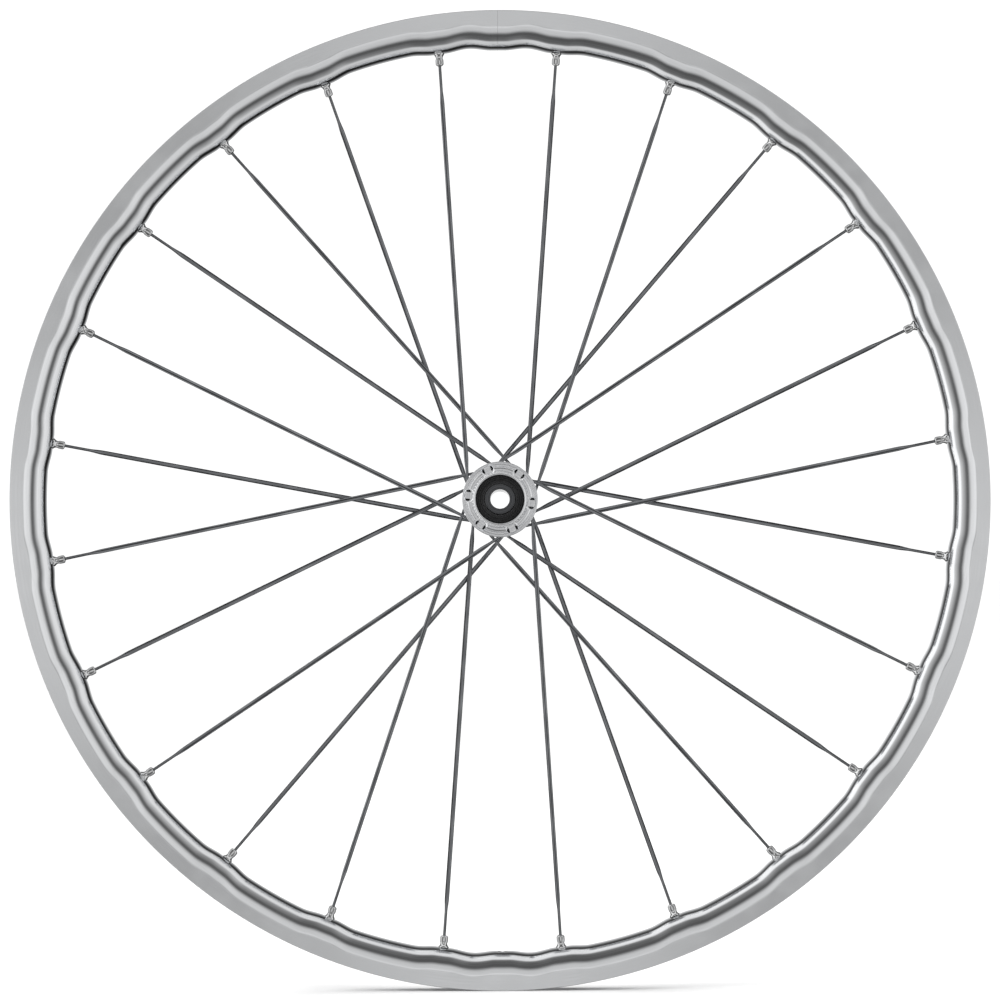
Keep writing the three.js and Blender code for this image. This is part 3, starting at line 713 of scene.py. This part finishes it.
def nipple_outline():
    """(radius, y, fluted) from the bore's end round the barrel and the collar to the rim's bed."""
    waist_end = -COLLAR_LENGTH - WAIST_LENGTH
    barrel_end = waist_end - BARREL_LENGTH
    flare = COLLAR_RADIUS - WAIST_RADIUS
    return [
        (NIPPLE_BORE_RADIUS, 0.4, 0),
        (NIPPLE_BORE_RADIUS, barrel_end + 0.4, 0),
        (NIPPLE_BORE_RADIUS + 0.3, barrel_end, 0),
        (BARREL_RADIUS - 1.1, barrel_end, 0),
        (BARREL_RADIUS - 0.6, barrel_end + 0.2, 0.2),
        (BARREL_RADIUS - 0.2, barrel_end + 0.6, 0.6),
        (BARREL_RADIUS, barrel_end + 1.3, 1),
        (BARREL_RADIUS, waist_end - 0.8, 1),
        (BARREL_RADIUS - 0.1, waist_end - 0.4, 0.6),
        (WAIST_RADIUS, waist_end + 0.1, 0),
        (WAIST_RADIUS, -COLLAR_LENGTH, 0),
        (WAIST_RADIUS + 0.2 * flare, -0.7 * COLLAR_LENGTH, 0),
        (WAIST_RADIUS + 0.55 * flare, -0.4 * COLLAR_LENGTH, 0),
        (COLLAR_RADIUS, -0.1 * COLLAR_LENGTH, 0),
        (COLLAR_RADIUS, 0.4, 0),
    ]


def nipple_mesh():
    segments = 9 * FLUTES
    rows = []
    for segment in range(segments):
        angle = 360 * segment / segments
        dip = FLUTE_DEPTH * (0.5 - 0.5 * math.cos(math.radians(FLUTES * angle)))
        rows.append([polar(radius - dip * fluted, angle, y) for radius, y, fluted in nipple_outline()])
    return skinned("nipple_shape", rows, True, 40)


def copies(shape, name, material, slot, node_prefix, indices, places):
    """One piece for each CAD node, all with the same mesh, and removes the shape that they copy."""
    for index, place in zip(indices, places):
        made = bpy.data.objects.new(f"{name}_{index + 1:02d}", shape.data)
        bpy.context.scene.collection.objects.link(made)
        made.matrix_world = place
        finished(made, material, slot, "wheel", f"{node_prefix}_{index + 1:02d}")
    bpy.data.objects.remove(shape)


def spokes():
    material = spoke_steel()
    for side in (0, 1):
        indices = range(side, SPOKE_COUNT, 2)
        lines = [spoke_line(index) for index in indices]
        seat, rim_end, _ = lines[0]
        shape = skinned("spoke_shape", spoke_rows((rim_end - seat).length), False, 50)
        places = []
        for index, (seat, _, along) in zip(indices, lines):
            turn = Matrix.Rotation(math.radians(blade_twist(index)), 4, "Y")
            places.append(aimed(seat, along) @ turn)
        copies(shape, "spoke_visual", material, "spoke_steel", "spoke", indices, places)


def nipples():
    indices = range(SPOKE_COUNT)
    lines = [spoke_line(index) for index in indices]
    places = [aimed(rim_end, along) for _, rim_end, along in lines]
    copies(nipple_mesh(), "nipple_visual", nipple_alloy(), "nipple_alloy", "nipple", indices, places)


# ---- Hub shell ----------------------------------------------------------------------------------------


def shell_outline():
    left, right = LEFT_FLANGE, RIGHT_FLANGE
    corners = [
        (MOUTH_RADIUS + MOUTH_EDGE, SPLINE_END),
        (SPLINE_ROOT_RADIUS - MOUTH_BEVEL_WIDTH, SPLINE_END),
        (SPLINE_ROOT_RADIUS, SPLINE_END + MOUTH_BEVEL_DEPTH),
        (SPLINE_ROOT_RADIUS, ROTOR_SHOULDER + UNDERCUT_DEPTH),
        (SPLINE_TIP_RADIUS + UNDERCUT_WIDTH, ROTOR_SHOULDER + UNDERCUT_DEPTH),
        (SPLINE_TIP_RADIUS + UNDERCUT_WIDTH + UNDERCUT_DEPTH, ROTOR_SHOULDER),
        (ROTOR_SHOULDER_RADIUS - SHOULDER_BEVEL_WIDTH, ROTOR_SHOULDER),
        (ROTOR_SHOULDER_RADIUS, ROTOR_SHOULDER + SHOULDER_BEVEL_DEPTH),
        (ROTOR_SHOULDER_RADIUS, left["outer_face"] + FLANGE_EDGE),
        (ROTOR_SHOULDER_RADIUS + FLANGE_EDGE, left["outer_face"]),
        (GROOVE_RADIUS - GROOVE_HALF_WIDTH, left["outer_face"]),
        (GROOVE_RADIUS, left["outer_face"] + GROOVE_DEPTH),
        (GROOVE_RADIUS + GROOVE_HALF_WIDTH, left["outer_face"]),
        (left["radius"] - FLANGE_EDGE, left["outer_face"]),
        (left["radius"], left["outer_face"] + 0.3),
        (left["radius"], left["inner_face"]),
        (NECK_RADIUS + 4, left["inner_face"] + 2.5),
        (NECK_RADIUS + 1, left["inner_face"] + 9),
        (NECK_RADIUS, 2),
        (NECK_RADIUS + 1, right["inner_face"] - 8),
        (NECK_RADIUS + 3, right["inner_face"] - 2.5),
        (right["radius"], right["inner_face"]),
        (right["radius"], right["outer_face"]),
        (RIGHT_BOSS_RADIUS, right["outer_face"]),
        (RIGHT_BOSS_RADIUS, RIGHT_BOSS_END),
        (RIGHT_BEARING_SEAT, RIGHT_BOSS_END),
        (RIGHT_BEARING_SEAT, RIGHT_SEAT_END),
        (HUB_BORE_RADIUS, RIGHT_SEAT_END),
        (HUB_BORE_RADIUS, LEFT_SEAT_END),
        (LEFT_BEARING_SEAT, LEFT_SEAT_END),
        (LEFT_BEARING_SEAT, LEFT_SEAT_MOUTH),
        (MOUTH_RADIUS, LEFT_SEAT_MOUTH),
        (MOUTH_RADIUS, SPLINE_END + MOUTH_EDGE),
    ]
    return rounded(corners, SHELL_ROUNDING)


def oblong_cutter(flange, angle, along, across, levels):
    """Cuts between two places around the hub and two along the radius. A level is a Y and a widening."""
    middle = flange["tangent_radius"] / math.cos(math.radians(foot_to_rim(flange) - PAIR_SPREAD))
    outward = polar(1, angle)
    forward = polar(1, angle + 90)
    rows = []
    for y, wider in levels:
        first, last = along[0] - wider, along[1] + wider
        low, high = across[0] - wider, across[1] + wider
        corners = [(high, last), (low, last), (low, first), (high, first)]
        row = []
        for radial, around in rounded(corners, 2 * POCKET_CORNER, steps=6):
            row.append(Vector((0, y, 0)) + outward * (middle + radial) + forward * around)
        rows.append(row)
    return skinned("cutter", rows, False)


def pocket_cutters(flange, angle):
    """A bevelled oblong as deep as the web, a slot past the web, and a hole for a head at each end."""
    end = POCKET_LENGTH / 2
    side = POCKET_WIDTH / 2
    web = WEB_LENGTH / 2
    ledge = LEDGE_LENGTH / 2
    inward = -flange["outward"]
    face = flange["outer_face"]
    web_face = face + inward * WEB_DEPTH
    ledge_back = web_face + inward * LEDGE_DEPTH
    bevelled = [
        (flange["pocket_mouth"], POCKET_BEVEL),
        (face, POCKET_BEVEL),
        (face + inward * POCKET_BEVEL, 0),
        (web_face, 0),
    ]
    hole = [(web_face - inward * CUT_OVERLAP, 0), (ledge_back + inward * CUT_OVERLAP, 0)]
    seat = [(ledge_back, 0), (flange["pocket_floor"], 0)]
    cuts = [
        ((-end, end), (-side, side), bevelled),
        ((ledge, end), (-side, side), hole),
        ((-end, -ledge), (-side, side), hole),
        ((-ledge - 2 * CUT_OVERLAP, ledge + 2 * CUT_OVERLAP), (side - SLOT_WIDTH, side), hole),
        ((web, end), (-side, side), seat),
        ((-end, -web), (-side, side), seat),
    ]
    return [oblong_cutter(flange, angle, along, across, levels) for along, across, levels in cuts]


def hub_shell():
    made = turned("hub_shell_visual", shell_outline())
    cutters = []
    for flange in (LEFT_FLANGE, RIGHT_FLANGE):
        for pair in range(PAIRS_PER_FLANGE):
            cutters += pocket_cutters(flange, flange["phase"] + pair * 360 / PAIRS_PER_FLANGE)
    for index in range(SPOKE_COUNT):
        seat, _, along = spoke_line(index)
        start = seat - along * 3 * CUT_OVERLAP
        cutters.append(rod("channel_cutter", CHANNEL_RADIUS, start, along, CHANNEL_LENGTH))
    cut(made, cutters)
    made.data.set_sharp_from_angle(angle=math.radians(SHARP_ANGLE))
    return made


def rotor_spline():
    """The toothed ring for the rotor, with flat-topped teeth whose ends are chamfered."""
    pitch = 360 / SPLINE_TEETH
    tooth = [(-0.5, 0), (-0.34, 0), (-0.16, 1), (0.16, 1), (0.34, 0)]
    root = SPLINE_ROOT_RADIUS - SPLINE_SINK
    inside = SPLINE_ROOT_RADIUS - SPLINE_RING_THICKNESS
    back = ROTOR_SHOULDER + UNDERCUT_DEPTH + SPLINE_SINK
    front = SPLINE_END + MOUTH_BEVEL_DEPTH

    def toothed_row(y, root_radius, height):
        row = []
        for index in range(SPLINE_TEETH):
            for share, rise in tooth:
                row.append(polar(root_radius + rise * height, (index + share) * pitch, y))
        return row

    tip_height = SPLINE_TIP_RADIUS - root
    rows = [
        toothed_row(back, root, tip_height),
        toothed_row(front + SPLINE_CHAMFER, root, tip_height),
        toothed_row(front, root, SPLINE_END_SHARE * tip_height),
        toothed_row(front, inside, 0),
        toothed_row(back, inside, 0),
    ]
    return skinned("rotor_spline_visual", rows, True, 25)


def hub():
    material = hub_alloy()
    finished(hub_shell(), material, "hub_alloy", "wheel", "hub_shell")
    finished(rotor_spline(), material, "hub_alloy", "wheel", "hub_shell")


# ---- Axle, end cap, seals and bearings ----------------------------------------------------------------


def axle():
    """The tube with the left end cap turned on it."""
    corners = [
        (THRU_AXLE_BORE_RADIUS + BORE_CHAMFER, -HUB_HALF_LENGTH),
        (END_CAP_RADIUS, -HUB_HALF_LENGTH),
        (END_CAP_RADIUS, LEFT_SEAL_BACK - CAP_STEP),
        (AXLE_TUBE_RADIUS, LEFT_SEAL_BACK - CAP_STEP),
        (AXLE_TUBE_RADIUS, AXLE_END),
        (THRU_AXLE_BORE_RADIUS, AXLE_END),
        (THRU_AXLE_BORE_RADIUS, BORE_CHAMFER - HUB_HALF_LENGTH),
    ]
    return turned("axle_visual", rounded(corners, CAP_ROUNDING))


def end_cap():
    corners = [
        (AXLE_TUBE_RADIUS + CAP_GAP, RIGHT_SEAL_BACK),
        (END_CAP_RADIUS, RIGHT_SEAL_BACK),
        (END_CAP_RADIUS, HUB_HALF_LENGTH),
        (THRU_AXLE_BORE_RADIUS + BORE_CHAMFER, HUB_HALF_LENGTH),
        (THRU_AXLE_BORE_RADIUS, HUB_HALF_LENGTH - BORE_CHAMFER),
        (THRU_AXLE_BORE_RADIUS, AXLE_END + CAP_GAP),
        (AXLE_TUBE_RADIUS + CAP_GAP, AXLE_END + CAP_GAP),
    ]
    return turned("end_cap_right_visual", rounded(corners, CAP_ROUNDING))


def ribbed_face(inner, outer, face, back, ribs, rib_height):
    """A ring whose face carries raised concentric ribs."""
    corners = [(inner, back)]
    pitch = (outer - inner) / (2 * ribs)
    for rib in range(ribs):
        start = inner + 2 * rib * pitch
        corners.append((start, face))
        corners.append((start + pitch, face))
        corners.append((start + 1.2 * pitch, face + rib_height))
        corners.append((start + 1.8 * pitch, face + rib_height))
    corners += [(outer, face + 0.5 * rib_height), (outer, back)]
    return rounded(corners, 0.15, steps=2)


def seals():
    material = seal_rubber()
    inner = END_CAP_RADIUS + SEAL_LIP_GAP
    left_outer = MOUTH_RADIUS - SEAL_EDGE_GAP
    right_outer = RIGHT_BEARING_SEAT - SEAL_EDGE_GAP
    left = ribbed_face(inner, left_outer, LEFT_SEAL_FACE, LEFT_SEAL_BACK, 4, 0.35)
    right = ribbed_face(inner, right_outer, RIGHT_SEAL_FACE, RIGHT_SEAL_BACK, 2, -0.3)
    finished(turned("dust_seal_left_visual", left), material, "seal_rubber", "wheel", "dust_seal_left")
    finished(turned("dust_seal_right_visual", right), material, "seal_rubber", "wheel", "dust_seal_right")


def bearings():
    """The bearings sit behind the seals and keep their CAD shapes."""
    material = bearing_steel()
    for name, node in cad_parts.items():
        if name.startswith(("bearing_", "ball_cage_")):
            node.data.materials.clear()
            node.data.materials.append(material)


# ---- Studio -------------------------------------------------------------------------------------------

# What polished metal mirrors, by the angle in degrees away from the camera's side of the wheel: the
# strength of white there. Pale screens with dark gaps between them draw the bands along the rim.
STUDIO_BANDS = [
    (0, 0.62),
    (3, 0.60),
    (5, 0.51),
    (8, 0.51),
    (12, 0.76),
    (26, 0.72),
    (39, 0.10),
    (43, 0.13),
    (50, 0.28),
    (57, 0.40),
    (60, 0.46),
    (70, 0.90),
    (79, 0.85),
    (90, 0.98),
    (98, 0.12),
    (104, 0.03),
    (112, 0.06),
    (120, 0.15),
    (127, 0.21),
    (134, 0.47),
    (148, 0.58),
    (160, 0.73),
    (176, 1.00),
]
NEAR_RIPPLE = 0.25  # how much the screens beside the camera vary, four times around
SIDE_RIPPLE = 0.15  # how much brighter the far screens are left and right than above and below
BRIGHT_SIDE = 155  # angle about Y of the brighter side
BRIGHT_SIDE_LIFT = [  # how much brighter, by the same angle as the screens
    (62, 0),
    (70, 0.22),
    (82, 0.32),
    (94, 0.85),
    (110, 0.9),
    (120, 0.75),
    (136, 0.33),
    (180, 0),
]
# One screen is longest and brightest left and right. Its share of what is mirrored, by the same angle.
LONG_SCREEN = [(40, 0), (47, 0.65), (52, 1), (60, 1), (67, 0)]
LONG_SCREEN_SIDE = -5
LONG_SCREEN_LIFT = 0.3  # on the side that its angle names
LONG_SCREEN_RIPPLE = 0.5  # on both sides
PLAIN_WHITE = 1.1  # strength of the white that the camera sees and that lights the wheel softly
LIGHT_SIZE = 1.6  # metres


def studio_world():
    """White all round for the camera and for soft light, and screens with gaps for reflections."""
    world = bpy.data.worlds.new("studio")
    bpy.context.scene.world = world
    world.use_nodes = True
    nodes, links = world.node_tree.nodes, world.node_tree.links

    def calculate(operation, *values):
        node = nodes.new("ShaderNodeMath")
        node.operation = operation
        for socket, value in zip(node.inputs, values):
            if isinstance(value, bpy.types.NodeSocket):
                links.new(value, socket)
            else:
                socket.default_value = value
        return node.outputs[0]

    direction = nodes.new("ShaderNodeSeparateXYZ")
    links.new(nodes.new("ShaderNodeTexCoord").outputs["Generated"], direction.inputs[0])
    x, y, z = direction.outputs
    from_camera_side = calculate("ARCCOSINE", calculate("MULTIPLY", y, -1))
    share = calculate("DIVIDE", from_camera_side, math.pi)

    def by_angle(table):
        ramp = nodes.new("ShaderNodeValToRGB")
        ramp.color_ramp.interpolation = "EASE"
        steps = ramp.color_ramp.elements
        while len(steps) < len(table):
            steps.new(0.5)
        for step, (angle, strength) in zip(steps, table):
            step.position = angle / 180
            step.color = (strength, strength, strength, 1)
        links.new(share, ramp.inputs[0])
        return ramp.outputs["Color"]

    around = calculate("ARCTAN2", z, x)
    four_fold = calculate("COSINE", calculate("MULTIPLY", around, 4))
    two_fold = calculate("COSINE", calculate("MULTIPLY", around, 2))
    farness = calculate("MINIMUM", calculate("MULTIPLY", share, 9), 1)
    nearness = calculate("SUBTRACT", 1, farness)
    near_swing = calculate("MULTIPLY", calculate("MULTIPLY", four_fold, nearness), 1.5 * NEAR_RIPPLE)
    far_swing = calculate("MULTIPLY", calculate("MULTIPLY", two_fold, farness), SIDE_RIPPLE)
    towards_bright = calculate("COSINE", calculate("SUBTRACT", around, math.radians(BRIGHT_SIDE)))
    lift = calculate("MULTIPLY", towards_bright, by_angle(BRIGHT_SIDE_LIFT))
    from_long = calculate("SUBTRACT", around, math.radians(LONG_SCREEN_SIDE))
    long_lift = calculate("MULTIPLY", calculate("COSINE", from_long), LONG_SCREEN_LIFT)
    both_sides = calculate("COSINE", calculate("MULTIPLY", from_long, 2))
    long_swing = calculate("ADD", long_lift, calculate("MULTIPLY", both_sides, LONG_SCREEN_RIPPLE))
    long_screen = calculate("MULTIPLY", long_swing, by_angle(LONG_SCREEN))
    far_swings = calculate("ADD", calculate("ADD", far_swing, lift), long_screen)
    swings = calculate("ADD", near_swing, far_swings)
    strength = calculate("ADD", swings, 1)

    mirrored = nodes["Background"]
    links.new(by_angle(STUDIO_BANDS), mirrored.inputs["Color"])
    links.new(strength, mirrored.inputs["Strength"])
    plain = nodes.new("ShaderNodeBackground")
    plain.inputs["Color"].default_value = (1, 1, 1, 1)
    plain.inputs["Strength"].default_value = PLAIN_WHITE
    path = nodes.new("ShaderNodeLightPath")
    is_plain = calculate("MAXIMUM", path.outputs["Is Camera Ray"], path.outputs["Is Diffuse Ray"])
    mix = nodes.new("ShaderNodeMixShader")
    links.new(is_plain, mix.inputs["Fac"])
    links.new(mirrored.outputs[0], mix.inputs[1])
    links.new(plain.outputs[0], mix.inputs[2])
    links.new(mix.outputs[0], nodes["World Output"].inputs["Surface"])


def soft_light(name, place, watts):
    """A wide round light at a place in metres, turned to the hub. Polished metal doesn't mirror it."""
    data = bpy.data.lights.new(name, "AREA")
    data.shape = "DISK"
    data.size = LIGHT_SIZE
    data.energy = watts
    made = bpy.data.objects.new(name, data)
    bpy.context.scene.collection.objects.link(made)
    made.location = place
    made.visible_glossy = False
    made.rotation_euler = (-Vector(place)).to_track_quat("-Z", "Y").to_euler()


def floor():
    """A wide pale floor that the wheel stands on."""
    corners = ((-1, -1), (1, -1), (1, 1), (-1, 1))
    points = [Vector((x * FLOOR_HALF_WIDTH, y * FLOOR_HALF_WIDTH, -RIM_RADIUS)) for x, y in corners]
    made = piece("floor", points, [(0, 1, 2, 3)])
    made.data.materials.append(floor_paint())
    made.visible_glossy = False


def camera():
    data = bpy.data.cameras.new("camera")
    data.sensor_width = SENSOR_WIDTH
    near_face_distance = CAMERA_DISTANCE - RIM_HALF_WIDTH
    data.lens = SENSOR_WIDTH * near_face_distance * WHEEL_SHARE / (2 * RIM_RADIUS)
    made = bpy.data.objects.new("camera", data)
    bpy.context.scene.collection.objects.link(made)
    made.location = Vector((0, -CAMERA_DISTANCE, -CAMERA_DROP)) * MM
    aim = (-made.location).to_track_quat("-Z", "Y")
    roll = Matrix.Rotation(math.radians(CAMERA_ROLL), 4, "Z")
    made.rotation_euler = (aim.to_matrix().to_4x4() @ roll).to_euler()
    bpy.context.scene.camera = made


def studio():
    bpy.context.scene.view_settings.view_transform = "Standard"
    studio_world()
    soft_light("key_light", (-1.6, -2.2, 2.0), watts=30)
    soft_light("back_light", (1.4, 2.4, 1.8), watts=20)
    floor()
    camera()


black = black_anodised()
rim()
spokes()
nipples()
hub()
finished(axle(), black, "black_anodised", "axle", "axle")
finished(end_cap(), black, "black_anodised", "axle", "end_cap_right")
seals()
bearings()
studio()
